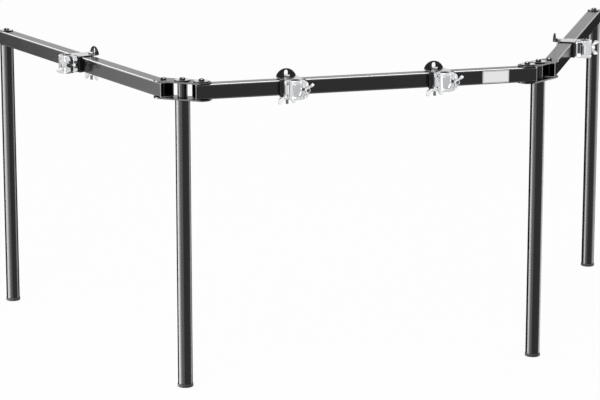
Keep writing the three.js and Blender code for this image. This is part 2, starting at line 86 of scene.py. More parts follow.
# Sizes of a tube clamp. Its own X runs along the rail, -Y points outward and Z is up.
WALL = 7.5
WALL_HALF = 34.0
STRAP = 2.4
INSIDE = RAIL_HALF + GAP
STRAP_TOP = INSIDE + STRAP
LIP_INSIDE = 34.0
LIP_HEIGHT = 19.0
LIP_RADIUS = 27.4
BEND = 1.5
CLOSING_Y = 25.2
CLOSING_BOLT = 4.0
PAD_BACK = -(INSIDE + WALL + GAP)
BARREL = 20.2
BORE = 12.0
BORE_Y = PAD_BACK - BARREL
BARREL_HALF = 24.0
SPLIT = 0.8
HINGE_X = -25.2
KNUCKLE = 4.3
JAW_KNUCKLE_HALF = 12.0
KNUCKLE_TOP = 21.0
SWING_X = 25.5
SWING_Y = -36.0
EYE = 7.0
LUG_FRONT = BORE_Y - 11.0
NUT_BASE = LUG_FRONT - 3.4
WING_TIP = 21.5
LARGE_NUT = 1.18
THREAD_PITCH = 1.25
CASTING_SHARP = 46
CLAMP_PLACES = {"left": 18, "front": (-207, 191), "right": -132}


# ---- skins


class Skin:
    """A closed surface: points in millimetres, and its faces as arrays of point numbers."""

    def __init__(self, points, *faces):
        self.points = np.asarray(points, float)
        self.faces = [np.asarray(rows, int) for rows in faces if len(rows)]

    def __add__(self, other):
        shifted = [rows + len(self.points) for rows in other.faces]
        return Skin(np.vstack([self.points, other.points]), *self.faces, *shifted)

    def triangles(self):
        """Every face as triangles that share its first corner."""
        fans = [rows[:, [0, k, k + 1]] for rows in self.faces for k in range(1, rows.shape[1] - 1)]
        return np.vstack(fans)

    def outward(self):
        """The same surface with its faces outwards, by the sign of its volume, the sum of a . (b x c) / 6."""
        a, b, c = (self.points[column] for column in self.triangles().T)
        if np.sum(a * np.cross(b, c)) < 0:
            self.faces = [rows[:, ::-1] for rows in self.faces]
        return self

    def moved(self, matrix):
        """The surface turned and shifted by a 4x4 matrix, and turned outward again if it was mirrored."""
        points = self.points @ matrix[:3, :3].T + matrix[:3, 3]
        mirrored = np.linalg.det(matrix[:3, :3]) < 0
        return Skin(points, *[rows[:, ::-1] if mirrored else rows for rows in self.faces])

    def welded(self):
        """Points nearer than a thousandth become one. Closed-up faces become triangles or go."""
        _, first, number = np.unique(np.round(self.points, 3), axis=0, return_index=True, return_inverse=True)
        number = number.reshape(-1)
        kept = []
        for rows in (number[rows] for rows in self.faces):
            same = rows == np.roll(rows, -1, axis=1)
            count = same.sum(axis=1)
            kept.append(rows[count == 0])
            if rows.shape[1] == 4:
                for k in range(4):
                    closed = rows[(count == 1) & same[:, k]]
                    kept.append(closed[:, [j for j in range(4) if j != k]])
        return Skin(self.points[first], *kept)


def shift(x=0.0, y=0.0, z=0.0):
    """4x4 matrix that shifts."""
    matrix = np.eye(4)
    matrix[:3, 3] = x, y, z
    return matrix


def turn(degrees, axis="z"):
    """4x4 matrix that turns about one axis."""
    c, s = np.cos(np.radians(degrees)), np.sin(np.radians(degrees))
    i, j = {"x": (1, 2), "y": (2, 0), "z": (0, 1)}[axis]
    matrix = np.eye(4)
    matrix[[i, i, j, j], [i, j, i, j]] = c, -s, s, c
    return matrix


ALONG_X = np.array([[0.0, 0, 1, 0], [1, 0, 0, 0], [0, 1, 0, 0], [0, 0, 0, 1]])
ALONG_Y = np.array([[1.0, 0, 0, 0], [0, 0, -1, 0], [0, 1, 0, 0], [0, 0, 0, 1]])
FLIP_Z = np.diag([1.0, 1.0, -1.0, 1.0])


def lattice(rows, columns, round_rows=False, round_columns=True):
    """Four-cornered faces of a grid whose point (i, j) has the number i * columns + j."""
    i = np.arange(rows if round_rows else rows - 1)[:, None]
    j = np.arange(columns if round_columns else columns - 1)[None, :]
    i_next, j_next = (i + 1) % rows, (j + 1) % columns
    corners = [i * columns + j, i * columns + j_next, i_next * columns + j_next, i_next * columns + j]
    return np.stack(corners, axis=-1).reshape(-1, 4)


def unit(vectors):
    """Each vector at length one."""
    return vectors / np.maximum(np.linalg.norm(vectors, axis=-1, keepdims=True), 1e-12)


def thinned(points, closed=True):
    """A line without points that repeat the one before."""
    step = np.linalg.norm(points - np.roll(points, 1, axis=0), axis=1)
    step[0] = step[0] if closed else 1
    return points[step > 1e-6]


def softened(corners, radii, steps=5, closed=True):
    """Corners become arcs that start and end a radius away from them, with a support point beyond each end.

    With a and b from the arc's centre to its ends and w the angle between them, a point of the arc is
    centre + (sin((1-t) w) a + sin(t w) b) / sin w for t from 0 to 1.
    """
    corners = np.asarray(corners, float)
    radii = np.array(np.broadcast_to(radii, len(corners)), float)
    behind = np.roll(corners, 1, axis=0) - corners
    ahead = np.roll(corners, -1, axis=0) - corners
    if not closed:
        radii[[0, -1]] = 0
    room = np.minimum(np.linalg.norm(behind, axis=1), np.linalg.norm(ahead, axis=1))
    reach = np.minimum(radii, 0.42 * np.maximum(room, 1e-9))[:, None, None]
    corner, behind, ahead = corners[:, None], unit(behind)[:, None], unit(ahead)[:, None]
    start, end = corner + behind * reach, corner + ahead * reach
    half_way = np.linalg.norm(behind + ahead, axis=-1, keepdims=True) / 2
    centre = corner + unit(behind + ahead) * reach / np.maximum(half_way, 1e-3)
    a, b = start - centre, end - centre
    w = np.arccos(np.clip(np.sum(unit(a) * unit(b), axis=-1, keepdims=True), -1, 1))
    w = np.clip(w, 1e-6, 3)
    t = np.linspace(0, 1, steps + 1)[None, :, None]
    curve = centre + (np.sin((1 - t) * w) * a + np.sin(t * w) * b) / np.sin(w)
    curve = np.where(half_way < 0.02, start + t * (end - start), curve)
    before = corner + behind * reach * 1.15
    after = corner + ahead * reach * 1.15
    return thinned(np.concatenate([before, curve, after], axis=1).reshape(-1, 2), closed)


def arc(x, y, radius, start, end, steps=16):
    """Points on a circle between two angles in degrees."""
    angle = np.radians(np.linspace(start, end, steps + 1))
    return np.stack([x + radius * np.cos(angle), y + radius * np.sin(angle)], axis=1)


def rectangle(width, height, radius, x=0.0, y=0.0):
    """Rectangle with round corners, round a middle point."""
    w, h = width / 2, height / 2
    corners = [(x - w, y - h), (x + w, y - h), (x + w, y + h), (x - w, y + h)]
    return softened(corners, radius)


def ring(radius, x=0.0, y=0.0, steps=32):
    """Circle as a hole: its points run clockwise."""
    return arc(x, y, radius, 360, 0, steps)[:-1]


def divided(loop, spacing):
    """A closed line with extra points, so that none are further apart than the spacing."""
    ahead = np.roll(loop, -1, axis=0) - loop
    parts = np.maximum(1, np.ceil(np.linalg.norm(ahead, axis=1) / spacing)).astype(int)
    start = np.repeat(np.arange(len(loop)), parts)
    offset = np.arange(len(start)) - np.repeat(np.cumsum(parts) - parts, parts)
    return loop[start] + ahead[start] * (offset / parts[start])[:, None]


def mitre(loop):
    """For each point of a closed line, the step into the material on its left that is one wide on both sides.

    With the left normals a and b of the two edges, it is (a + b) / (1 + a . b).
    """
    ahead = unit(np.roll(loop, -1, axis=0) - loop)
    left = np.stack([-ahead[:, 1], ahead[:, 0]], axis=1)
    last = np.roll(left, 1, axis=0)
    return (left + last) / (1 + np.sum(left * last, axis=1, keepdims=True))


def within(points, loop):
    """Which points lie inside a closed line: those with an odd count of its edges to their right."""
    a, b = loop[None], np.roll(loop, -1, axis=0)[None]
    x, y = points[:, None, 0], points[:, None, 1]
    spans = (a[..., 1] > y) != (b[..., 1] > y)
    rise = np.where(b[..., 1] == a[..., 1], 1, b[..., 1] - a[..., 1])
    cross = a[..., 0] + (y - a[..., 1]) / rise * (b[..., 0] - a[..., 0])
    return (np.sum(spans & (x < cross), axis=1) % 2) == 1


def filling(loops, extra):
    """Triangles between closed lines, and through extra points, numbered in that order."""
    points = np.vstack([*loops, extra])
    start = np.cumsum([0] + [len(loop) for loop in loops])
    counts = [len(loop) for loop in loops]
    edges = [np.stack([np.arange(n), (np.arange(n) + 1) % n], axis=1) + s for n, s in zip(counts, start)]
    pairs = [tuple(pair) for pair in np.vstack(edges).tolist()]
    found = delaunay_2d_cdt([Vector(point) for point in points], pairs, [], 1, 1e-7)
    origin = np.array([numbers[0] for numbers in found[3]])
    faces = origin[np.array(found[2])]
    middle = points[faces].mean(axis=1)
    keep = within(middle, loops[0])
    for hole in loops[1:]:
        keep &= ~within(middle, hole)
    return faces[keep]


def stations(low, high, edge, steps=4, between=0):
    """Inset and place of each copy of an outline from low to high, a quarter round at either end.

    A quarter round is inset by edge * (1 - sin a) at edge * (1 - cos a) from its end, with support
    lines beside it.
    """
    angle = np.linspace(0, np.pi / 2, steps + 1)
    inset = np.r_[edge + 0.15, edge * (1 - np.sin(angle)), 0]
    place = np.r_[0, edge * (1 - np.cos(angle)), edge + min(0.15, (high - low) * 0.1)]
    middle = np.linspace(low + place[-1], high - place[-1], between + 2)[1:-1]
    insets = np.r_[inset, np.zeros(between), inset[::-1]]
    return insets, np.r_[low + place, middle, high - place[::-1]]


def carried(loops, insets, places, bend=None, extra=None):
    """Outline loops carried through stations, and closed at the first and the last.

    The first loop runs counterclockwise and the others, holes, clockwise. bend takes x, y and place
    to a point in space; without it the copies are stacked along Z.
    """
    extra = np.zeros((0, 2)) if extra is None else extra
    rings, faces, count = [], [], 0
    for loop in loops:
        flat = loop[None] + insets[:, None, None] * mitre(loop)[None]
        rings.append(flat)
        faces.append(lattice(len(insets), len(loop)) + count)
        count += flat.shape[0] * flat.shape[1]
    ends = [[flat[k] for flat in rings] for k in (0, -1)]
    starts = np.cumsum([0] + [flat.shape[0] * flat.shape[1] for flat in rings])
    numbers = []
    for k, row in ((0, 0), (1, len(insets) - 1)):
        own = [starts[i] + row * flat.shape[1] + np.arange(flat.shape[1]) for i, flat in enumerate(rings)]
        numbers.append(np.concatenate([*own, count + k * len(extra) + np.arange(len(extra))]))
    cap = filling(ends[0], extra)
    plane = np.vstack([flat.reshape(-1, 2) for flat in rings] + [extra, extra])
    height = [np.repeat(places, flat.shape[1]) for flat in rings]
    height = np.concatenate([*height, np.full(len(extra), places[0]), np.full(len(extra), places[-1])])
    points = np.column_stack([plane, height]) if bend is None else bend(plane[:, 0], plane[:, 1], height)
    caps = [numbers[0][cap][:, ::-1], numbers[1][cap]]
    return Skin(points, *faces, *caps).outward()


def slab(loops, low, high, edge=0.6, steps=4, matrix=None):
    """A flat piece between two heights, with its edges rounded."""
    loops = loops if isinstance(loops, list) else [loops]
    skin = carried(loops, *stations(low, high, edge, steps))
    return skin if matrix is None else skin.moved(matrix)


def upright(loops, back, front, edge=0.6, steps=4):
    """A slab whose outline is in X and Z, between two values of Y."""
    return slab(loops, -front, -back, edge, steps, ALONG_Y)


def across(loops, low, high, edge=0.6, steps=4):
    """A slab whose outline is in Y and Z, between two values of X."""
    return slab(loops, low, high, edge, steps, ALONG_X)


def turned(outline, steps=64, closed=False, six=None):
    """An outline of radius and height carried round the Z axis.

    The radius at angle a is r * (1 - w + w * cos 30 / cos(a mod 60 - 30)), where w, from the list
    six, says how six-sided the piece is at that point.
    """
    outline = np.asarray(outline, float)
    weight = np.zeros(len(outline)) if six is None else np.asarray(six, float)
    angle = np.arange(steps) / steps * 2 * np.pi
    corner = np.cos(np.pi / 6) / np.cos(np.mod(angle, np.pi / 3) - np.pi / 6)
    radius = outline[:, :1] * (1 - weight[:, None] + weight[:, None] * corner[None])
    height = np.broadcast_to(outline[:, 1:], radius.shape)
    points = np.stack([radius * np.cos(angle), radius * np.sin(angle), height], axis=-1).reshape(-1, 3)
    return Skin(points, lattice(len(outline), steps, round_rows=closed)).outward()


def threaded(radius, pitch, low, high, depth=None, steps=24):
    """A screw along Z, tapered at both ends.

    Its radius is the outer one less depth * |2 * frac(angle / full turn - z / pitch) - 1|.
    """
    depth = 0.55 * pitch if depth is None else depth
    rows = max(8, int((high - low) / pitch * 8))
    z = np.linspace(low, high, rows + 1)[:, None]
    angle = (np.arange(steps) / steps * 2 * np.pi)[None]
    wave = np.abs(2 * np.mod(angle / (2 * np.pi) - z / pitch, 1) - 1)
    taper = np.clip(np.minimum(z - low, high - z) / pitch, 0, 1)
    r = (radius - depth * wave) * taper + (radius - depth) * (1 - taper)
    side = np.stack([r * np.cos(angle), r * np.sin(angle), z + 0 * angle], axis=-1)
    ends = [np.broadcast_to([0.0, 0.0, end], side[0].shape) for end in (low, high)]
    points = np.concatenate([ends[0][None], side, ends[1][None]])
    return Skin(points.reshape(-1, 3), lattice(len(points), steps)).outward()


def rod(radius, low, high, edge=0.5, steps=32):
    """A plain round bar along Z with rounded rims."""
    outline = [(0, low), (radius, low), (radius, high), (0, high)]
    return turned(softened(outline, edge, 4, closed=False), steps)


def fused(skin, lattice_step, smoothing=6, keep=0.4):
    """Melts overlapping shells into one skin on a fine lattice, with fillets as a casting has."""
    mesh = bpy.data.meshes.new("melt")
    mesh.from_pydata(skin.points.tolist(), [], [face for rows in skin.faces for face in rows.tolist()])
    holder = bpy.data.objects.new("melt", mesh)
    bpy.context.scene.collection.objects.link(holder)
    remesh = holder.modifiers.new("remesh", "REMESH")
    remesh.mode = "VOXEL"
    remesh.voxel_size = lattice_step * 1
    relax = holder.modifiers.new("relax", "SMOOTH")
    relax.factor = 0.5
    relax.iterations = smoothing
    thin = holder.modifiers.new("thin", "DECIMATE")
    thin.ratio = keep
    result = holder.evaluated_get(bpy.context.evaluated_depsgraph_get()).to_mesh()
    points = np.empty(len(result.vertices) * 3)
    result.vertices.foreach_get("co", points)
    result.calc_loop_triangles()
    corners = np.empty(len(result.loop_triangles) * 3, dtype=np.int32)
    result.loop_triangles.foreach_get("vertices", corners)
    bpy.data.objects.remove(holder)
    bpy.data.meshes.remove(mesh)
    return Skin(points.reshape(-1, 3), corners.reshape(-1, 3)).outward()


def rims(skin):
    """How sharply the surface turns at each point, from -1 in a hollow to 1 on an edge.

    It is the mean over a point's edges of (normal change) . (edge) / (edge length)^2, times two millimetres.
    """
    triangles = skin.triangles()
    a, b, c = (skin.points[column] for column in triangles.T)
    area = np.cross(b - a, c - a)
    normal = np.zeros_like(skin.points)
    for column in triangles.T:
        np.add.at(normal, column, area)
    normal = unit(normal)
    pairs = np.vstack([triangles[:, [0, 1]], triangles[:, [1, 2]], triangles[:, [2, 0]]])
    step = skin.points[pairs[:, 1]] - skin.points[pairs[:, 0]]
    length = np.maximum(np.sum(step * step, axis=1), 0.01)
    bend = np.sum((normal[pairs[:, 1]] - normal[pairs[:, 0]]) * step, axis=1) / length
    total, count = np.zeros(len(normal)), np.full(len(normal), 1e-9)
    np.add.at(total, pairs[:, 0], bend)
    np.add.at(count, pairs[:, 0], 1)
    return np.clip(total / count * 2, -1, 1)


def make(name, skin, finish, body, nodes=(), where=None, sharp=34, patch=None):
    """Puts a skin into the scene at its place in the rack, as one object at the origin.

    The last argument gives, from the points at their own place, how much of the finish is missing there, and
    on the socket castings how much painted shade is drawn there.
    """
    skin = skin.welded()
    marks = {"rim": rims(skin)}
    if patch is not None:
        marks["patch"] = patch(*skin.points.T)
    if where is not None:
        skin = skin.moved(where)
    mesh = bpy.data.meshes.new(name)
    faces = [face for rows in skin.faces for face in rows.tolist()]
    mesh.from_pydata((skin.points * MM).tolist(), [], faces)
    mesh.shade_smooth()
    mesh.set_sharp_from_angle(angle=np.radians(sharp))
    for mark, values in marks.items():
        mesh.attributes.new(mark, "FLOAT", "POINT").data.foreach_set("value", values)
    mesh.materials.append(finish)
    piece = bpy.data.objects.new(name, mesh)
    bpy.context.scene.collection.objects.link(piece)
    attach(piece, body)
    if nodes:
        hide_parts(*nodes)
    return piece


# ---- finishes


class Wire:
    """One output of a shader node. Sums, differences and products on it add their Math nodes."""

    def __init__(self, finish, socket):
        self.finish = finish
        self.socket = socket

    def maths(self, operation, *values):
        return self.finish.node("ShaderNodeMath", {"operation": operation}, dict(enumerate(values)))

    def __add__(self, other):
        return self.maths("ADD", self, other)

    def __sub__(self, other):
        return self.maths("SUBTRACT", self, other)

    def __rsub__(self, other):
        return self.maths("SUBTRACT", other, self)

    def __mul__(self, other):
        return self.maths("MULTIPLY", self, other)

    __radd__ = __add__
    __rmul__ = __mul__

    def between(self, low, high):
        """0 below low, 1 above high, and a smooth step between them."""
        inputs = {"Value": self, "From Min": low, "From Max": high}
        return self.finish.node("ShaderNodeMapRange", {"interpolation_type": "SMOOTHSTEP"}, inputs)

    def mix(self, low, high):
        """A colour between two, by this value."""
        inputs = {0: self, 6: low, 7: high}
        return self.finish.node("ShaderNodeMix", {"data_type": "RGBA"}, inputs, output=2)


class Finish:
    """A material whose nodes are added one by one."""

    def __init__(self, name, tree=None):
        if tree is None:
            self.material = bpy.data.materials.new(name)
            self.material.use_nodes = True
            tree = self.material.node_tree
        self.tree = tree
        self.tree.nodes.clear()
        self.place = self.node("ShaderNodeTexCoord", output="Object")

    def node(self, kind, settings=None, inputs=None, output=0):
        node = self.tree.nodes.new(kind)
        for key, value in (settings or {}).items():
            setattr(node, key, value)
        for key, value in (inputs or {}).items():
            if isinstance(value, Wire):
                self.tree.links.new(value.socket, node.inputs[key])
            else:
                node.inputs[key].default_value = value
        return Wire(self, node.outputs[output])

    def noise(self, size, detail=2.0, rough=0.5, place=None):
        """Cloudy noise from 0 to 1, its blots about size millimetres across."""
        inputs = {"Vector": place or self.place, "Scale": 1000 / size, "Detail": detail, "Roughness": rough}
        return self.node("ShaderNodeTexNoise", None, inputs)

    def stretched(self, x, y, z):
        """Object coordinates scaled along each axis."""
        return self.node("ShaderNodeMapping", None, {"Vector": self.place, "Scale": (x, y, z)})

    def mark(self, name="rim"):
        """A measure that make() put on the mesh."""
        return self.node("ShaderNodeAttribute", {"attribute_name": name}, None, output="Fac")

    def wear(self, low, high, blots, start, end):
        """Rubbed rims: the rim measure above low, broken up by noise of a size, detail and roughness."""
        return self.mark().between(low, high) * self.noise(*blots).between(start, end)

    def bump(self, height, distance, strength=1.0):
        inputs = {"Height": height, "Distance": distance * MM, "Strength": strength}
        return self.node("ShaderNodeBump", None, inputs)

    def rays(self):
        """Whether a ray comes from the camera, from a glossy surface, or through a clear one."""
        kinds = ("Camera", "Glossy", "Transmission")
        return [self.node("ShaderNodeLightPath", output=f"Is {kind} Ray") for kind in kinds]

    def surface(self, **sockets):
        """Ends the material with one Principled shader. Underscores in socket names stand for spaces."""
        named = {name.replace("_", " "): value for name, value in sockets.items()}
        shader = self.node("ShaderNodeBsdfPrincipled", None, named)
        self.node_output(shader)
        return self.material

    def node_output(self, shader):
        output = self.tree.nodes.new("ShaderNodeOutputMaterial")
        self.tree.links.new(shader.socket, output.inputs["Surface"])


def gloss_black(name="gloss_black_paint", burnished=False):
    """Stoved black enamel: deep gloss, faint orange peel, fine dust, rubbed edges that can be
    burnished, and bare steel at sawn ends.
    """
    coat = Finish(name)
    cloud = coat.noise(90, 3)
    peel = coat.noise(2.6, 1.5, 0.4)
    grain = coat.noise(0.5, 1)
    rubbed = coat.wear(0.25, 0.9, (7, 4, 0.6), 0.45, 0.7)
    scuffs = coat.noise(1.2, 2, place=coat.stretched(1, 1, 0.16)).between(0.66, 0.8)
    colour = rubbed.mix((0.004, 0.004, 0.0045, 1), (0.05, 0.05, 0.053, 1))
    bare = coat.mark("patch")
    rough = 0.15 + 0.07 * cloud + 0.12 * rubbed + 0.05 * scuffs + 0.12 * bare
    return coat.surface(
        Base_Color=bare.mix(colour, (0.3, 0.3, 0.31, 1)),
        Metallic=bare * 0.85,
        Coat_Weight=coat.mark().between(0.1, 0.2) if burnished else 0.0,
        Coat_IOR=1.8,
        Coat_Roughness=0.12,
        Roughness=rough,
        Specular_IOR_Level=0.3,
        Normal=coat.bump(peel + 0.1 * grain, 0.006),
    )


def satin_black(name="collar_black_paint"):
    """Black paint on the collars: satin, with a fine grain under it and lighter wear on the edges."""
    coat = Finish(name)
    cloud = coat.noise(30, 3)
    grain = coat.noise(0.9, 3, 0.6)
    rubbed = coat.wear(0.3, 0.95, (4, 4, 0.6), 0.42, 0.68)
    colour = rubbed.mix((0.006, 0.006, 0.007, 1), (0.05, 0.05, 0.053, 1))
    return coat.surface(
        Base_Color=colour,
        Roughness=0.24 + 0.08 * cloud + 0.1 * rubbed,
        Specular_IOR_Level=0.4,
        Normal=coat.bump(grain, 0.03),
    )


def bright_chrome(name="chrome_plate"):
    """Bright plating over a die casting: ripple, haze, painted shade in the hollows, and a dull dark grey in
    the bore that is painted shade.
    """
    plate = Finish(name)
    ripple = plate.noise(5, 1.5)
    haze = plate.noise(14, 4, 0.65)
    pits = plate.noise(0.8, 2).between(0.7, 0.82)
    cast = plate.noise(1.1, 3, 0.6)
    # Painted shade: hollows, found by the rim measure, are drawn in a darker grey and mixed with random haze.
    hollow_shade = (0 - plate.mark()).between(0.12, 0.8)
    # Painted shade: this measure darkens the bore wall, the hinge's hidden side and the split to near-black;
    # on the raised field it is a real satin finish.
    satin_and_painted_shade = plate.mark("patch")
    painted_shade_and_haze = hollow_shade * 0.7 + haze.between(0.5, 0.75) * 0.12
    bright = painted_shade_and_haze.mix((0.87, 0.88, 0.89, 1), (0.36, 0.36, 0.38, 1))
    return plate.surface(
        Base_Color=satin_and_painted_shade.mix(bright, (0.055, 0.055, 0.06, 1)),
        Metallic=1.0,
        Roughness=0.07 + 0.06 * haze + 0.2 * pits + 0.1 * hollow_shade + 0.4 * satin_and_painted_shade,
        Normal=plate.bump(ripple - 0.15 * pits + 0.5 * cast * satin_and_painted_shade, 0.05),
    )


def turned_chrome(name="chrome_hardware"):
    """Plated bolts and wing nuts: bright, with fine turning marks, painted shade that greys the thread roots,
    and dull threads.
    """
    plate = Finish(name)
    marks = plate.noise(0.35, 2, place=plate.stretched(1, 1, 3))
    haze = plate.noise(9, 3)
    # Painted shade: hollows such as thread roots, found by the rim measure, are drawn grey.
    root_shade = (0 - plate.mark()).between(0.1, 0.7)
    dark = plate.mark("patch")
    painted_shade_and_haze = (root_shade * 0.75 + haze.between(0.55, 0.8) * 0.1).mix((0.88, 0.89, 0.9, 1), (0.25, 0.25, 0.27, 1))
    return plate.surface(
        Base_Color=dark.mix(painted_shade_and_haze, (0.03, 0.03, 0.033, 1)),
        Metallic=1.0,
        Roughness=0.09 + 0.08 * haze + 0.12 * root_shade + 0.2 * dark,
        Normal=plate.bump(marks, 0.012),
    )


def oxide_bolt(name="black_oxide_bolt"):
    """Black oxide on socket screws: dark metal, oily gloss, edges worn to grey."""
    skin = Finish(name)
    worn = skin.wear(0.3, 0.9, (2.5, 3), 0.35, 0.65)
    colour = worn.mix((0.008, 0.008, 0.009, 1), (0.1, 0.1, 0.11, 1))
    return skin.surface(
        Base_Color=colour,
        Metallic=0.2,
        Specular_IOR_Level=0.35,
        Roughness=0.2 + 0.1 * skin.noise(6, 3) + 0.08 * worn,
        Normal=skin.bump(skin.noise(0.6, 2), 0.012),
    )


def moulded_rubber(name="foot_rubber"):
    """Black rubber: dull, fine-grained, greyed by dust low down and on its rims."""
    rubber = Finish(name)
    dust = rubber.noise(8, 4, 0.7).between(0.45, 0.75) * 0.6 + rubber.mark().between(0.2, 0.9) * 0.3
    colour = dust.mix((0.014, 0.014, 0.014, 1), (0.045, 0.043, 0.04, 1))
    return rubber.surface(
        Base_Color=colour,
        Roughness=0.62 + 0.2 * rubber.noise(3, 3),
        Specular_IOR_Level=0.4,
        Normal=rubber.bump(rubber.noise(0.7, 3, 0.6), 0.06),
    )


def moulded_plastic(name="cap_plastic"):
    """Black polythene cap: half-dull, with a fine spark-eroded grain."""
    plastic = Finish(name)
    grain = plastic.noise(0.6, 3, 0.6)
    rubbed = plastic.wear(0.3, 0.9, (3, 3), 0.4, 0.7)
    colour = rubbed.mix((0.012, 0.012, 0.012, 1), (0.04, 0.04, 0.041, 1))
    return plastic.surface(
        Base_Color=colour,
        Roughness=0.38 + 0.12 * plastic.noise(12, 3),
        Normal=plastic.bump(grain, 0.04),
    )


def brushed_plate(name="plain_badge_metal"):
    """Bare satin aluminium of the small plate: fine brushing along its length."""
    metal = Finish(name)
    lines = metal.noise(0.5, 3, 0.7, place=metal.stretched(0.06, 1, 1))
    colour = metal.noise(20, 3).mix((0.86, 0.86, 0.86, 1), (0.93, 0.93, 0.92, 1))
    return metal.surface(
        Base_Color=colour,
        Metallic=0.1,
        Roughness=0.34 + 0.14 * lines,
        Normal=metal.bump(lines, 0.01),
    )


GLOSS_BLACK = gloss_black()
RAIL_BLACK = gloss_black("gloss_black_rail", True)
SATIN_BLACK = satin_black()
CHROME = bright_chrome()
HARDWARE = turned_chrome()
OXIDE = oxide_bolt()
RUBBER = moulded_rubber()
PLASTIC = moulded_plastic()
BADGE = brushed_plate()


# ---- plan of the rack


def frame_at(x, y, z, degrees):
    """A level frame at a point, turned about Z."""
    return shift(x, y, z) @ turn(degrees)


def stepped(start, degrees, distance):
    """The point a distance along a direction in plan."""
    angle = np.radians(degrees)
    return np.array(start) + distance * np.array([np.cos(angle), np.sin(angle)])


front_low, front_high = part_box("rail_front")
ORIGIN = (np.array(front_low[:2]) + np.array(front_high[:2])) / 2 / MM


def side_plan(sign, plate_turn, rail_turn):
    """Corner, far leg and rail frame of one side: two steps along the plates, then along the rail."""
    head = stepped(ORIGIN + [sign * FRONT_PIVOT, 0], plate_turn, sign * PIVOT_REACH)
    pivot = stepped(head, plate_turn, sign * PIVOT_REACH)
    middle = stepped(pivot, rail_turn, sign * SIDE_PIVOT)
    far = stepped(middle, rail_turn, sign * FAR_LEG)
    return head, far, frame_at(*middle, RAIL_Z, rail_turn)


LEFT_CORNER, LEFT_LEG, LEFT_FRAME = side_plan(-1, LEFT_PLATE_TURN, LEFT_RAIL_TURN)
RIGHT_CORNER, RIGHT_LEG, RIGHT_FRAME = side_plan(1, RIGHT_PLATE_TURN, RIGHT_RAIL_TURN)
FRONT_FRAME = frame_at(*ORIGIN, RAIL_Z, 0)


# ---- rails, legs and corners


def rail(length):
    """Square tube: its section, a square ring with round corners, carried along X with soft ends."""
    outer = rectangle(RAIL, RAIL, 3)
    inner = rectangle(RAIL - 2 * RAIL_WALL, RAIL - 2 * RAIL_WALL, 1.5)[::-1]
    insets, places = stations(-length / 2, length / 2, 0.35, 3)
    near_ends = np.array([1.2 - length / 2, 1.6 - length / 2, length / 2 - 1.6, length / 2 - 1.2])
    half = len(places) // 2
    insets, places = np.insert(insets, half, np.zeros(4)), np.insert(places, half, near_ends)
    return carried([outer, inner], insets, places).moved(ALONG_X)


def cut_ends(x, y, z):
    """1 on a rail's sawn ends and a millimetre round them, 0 elsewhere."""
    return np.clip((np.abs(x) - np.abs(x).max() + 1.6) / 0.4, 0, 1)


def leg(length):
    """Round tube, plugged at its top: a closed outline of radius and height, turned."""
    inner = LEG_RADIUS - LEG_WALL
    outline = [(HOLE, 0), (LEG_RADIUS, 0), (LEG_RADIUS, -length)]
    outline += [(inner, -length), (inner, -14), (HOLE, -14)]
    return turned(softened(outline, [0.3, 1.4, 0.4, 0.4, 0.3, 0.3]), 96, closed=True)


def foot():
    """Rubber foot: flange with a round lower rim, a shallow tread groove under it, and a plug in the leg."""
    flange = LEG_RADIUS + 1.3
    plug = LEG_RADIUS - LEG_WALL - GAP
    outline = [(0, 1.2), (9, 1.2), (10, 0), (13, 0), (13.6, 0.9), (14.6, 0.9), (15.2, 0), (flange, 0)]
    outline += [(flange, FOOT_FLANGE), (plug, FOOT_FLANGE), (plug, FOOT_FLANGE + 22), (0, FOOT_FLANGE + 22)]
    radii = [0, 0.4, 0.4, 0.3, 0.3, 0.3, 0.3, 3.4, 1.0, 0.2, 1.5, 0]
    return turned(softened(outline, radii, 6, closed=False), 96)


def end_cap():
    """Plastic cap: a square flange with pillowed edges and a plug in the tube. It points along +X."""
    size = RAIL + 2.4
    plug = RAIL - 2 * RAIL_WALL - 2 * GAP
    flange = across(rectangle(size, size, 4), GAP, 4, 1.3, 6)
    return flange + across(rectangle(plug, plug, 1.5), -9, 2, 0.5)


def corner_plate():
    """Plate: two half circles joined by straight sides, less three round holes, stacked through stations."""
    right = arc(PIVOT_REACH, 0, PLATE_HALF, -90, 90, 40)
    left = arc(-PIVOT_REACH, 0, PLATE_HALF, 90, 270, 40)
    side = np.array([[PIVOT_REACH - 1, PLATE_HALF], [1 - PIVOT_REACH, PLATE_HALF]])
    outline = np.vstack([right, side, left, -side])
    holes = [ring(HOLE, x) for x in (-PIVOT_REACH, 0, PIVOT_REACH)]
    return slab([outline, *holes], 0, PLATE, 0.6, 4)


def spacer():
    """Plain sleeve between the two plates: a closed outline of radius and height, turned."""
    outline = [(HOLE, -RAIL_HALF), (SPACER_RADIUS, -RAIL_HALF), (SPACER_RADIUS, RAIL_HALF), (HOLE, RAIL_HALF)]
    return turned(softened(outline, 0.6), 72, closed=True)


def washer(radius=WASHER_RADIUS, inner=HOLE):
    """Wide washer, stamped: the upper rim is rounder than the lower one."""
    outline = [(inner, 0), (radius, 0), (radius, WASHER), (inner, WASHER)]
    return turned(softened(outline, [0.3, 0.4, 0.6, 0.5]), 96, closed=True)


